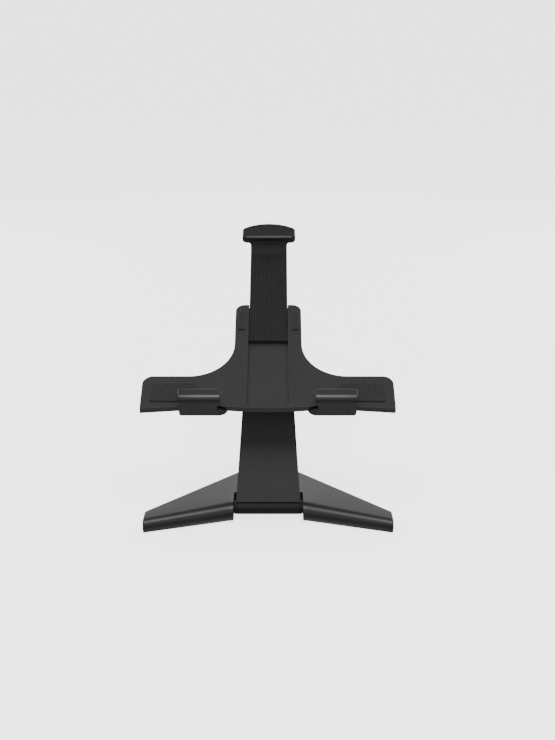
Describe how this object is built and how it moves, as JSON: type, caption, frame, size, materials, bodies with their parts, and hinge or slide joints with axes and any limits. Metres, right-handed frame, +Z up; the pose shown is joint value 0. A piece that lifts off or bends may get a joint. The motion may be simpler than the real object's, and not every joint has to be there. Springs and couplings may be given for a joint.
{
  "type": "tablet stand",
  "caption": "Desk stand with a weighted delta base, a leaning arm and a tilting, turning cradle that grips a tablet between two lower hooks and a sliding top clamp.",
  "frame": {"origin": "on the table, straight below the middle of the lower hinge", "axes": "+X to the right, +Y away from the user, +Z up"},
  "size_m": [0.215, 0.2091, 0.2274],
  "materials": {
    "base_plastic": "satin black moulded plastic",
    "arm_plastic": "satin black moulded plastic",
    "cradle_plastic": "fine-textured black plastic",
    "dark_plastic": "matt black plastic",
    "hook_plastic": "satin black moulded plastic",
    "clamp_plastic": "satin black moulded plastic",
    "bearing_plastic": "natural acetal",
    "rubber": "matt black silicone rubber",
    "barrel_paint": "semi-gloss black paint",
    "head_paint": "satin black paint on die-cast zinc",
    "plated_steel": "zinc-plated sheet steel",
    "screw_steel": "zinc-plated steel",
    "black_steel": "black-oxide steel",
    "spring_steel": "spring steel"
  },
  "bodies": {
    "base": {"base_shell": "base_plastic", "base_floor": "dark_plastic", "base_ballast": "plated_steel", "base_pad": "rubber", "base_screws": "screw_steel", "hinge_bracket_left": "plated_steel", "hinge_bracket_right": "plated_steel", "bracket_screws": "screw_steel", "hinge_shaft": "screw_steel", "hinge_springs": "spring_steel", "hinge_nuts": "screw_steel"},
    "arm": {"arm_barrel": "barrel_paint", "arm_bushes": "dark_plastic", "arm_spine": "head_paint", "arm_front": "arm_plastic", "arm_back": "arm_plastic", "arm_screws": "black_steel", "tilt_bolt": "screw_steel", "tilt_springs": "spring_steel", "tilt_nut": "screw_steel", "tilt_caps": "dark_plastic"},
    "head": {"head_knuckle": "head_paint", "tilt_washers": "bearing_plastic", "swivel_disc": "bearing_plastic", "swivel_bolt": "screw_steel", "swivel_spring": "spring_steel"},
    "cradle": {"swivel_plate": "plated_steel", "swivel_screws": "screw_steel", "cradle_front": "cradle_plastic", "cradle_back": "dark_plastic", "cradle_screws": "black_steel", "hook_left": "hook_plastic", "hook_right": "hook_plastic", "hook_screws": "black_steel", "hook_pads": "rubber", "cradle_pads": "rubber", "clamp_spring": "spring_steel"},
    "clamp": {"clamp_tee": "clamp_plastic", "clamp_strip": "plated_steel", "clamp_rivets": "screw_steel"}
  },
  "joints": [
    {"name": "arm_tilt", "type": "hinge", "parent": "base", "child": "arm", "pos_m": [0, 0, 0.012], "axis": [1, 0, 0], "range_deg": [-24, 16]},
    {"name": "cradle_tilt", "type": "hinge", "parent": "arm", "child": "head", "pos_m": [0, 0.05993, 0.13487], "axis": [1, 0, 0], "range_deg": [-20, 20]},
    {"name": "cradle_spin", "type": "hinge", "parent": "head", "child": "cradle", "pos_m": [0, 0.04889, 0.1573], "axis": [0, -0.4415, 0.8973], "continuous": true},
    {"name": "clamp_slide", "type": "slide", "parent": "cradle", "child": "clamp", "axis": [0, 0.8973, 0.4415], "range_m": [-0.075, 0]}
  ]
}
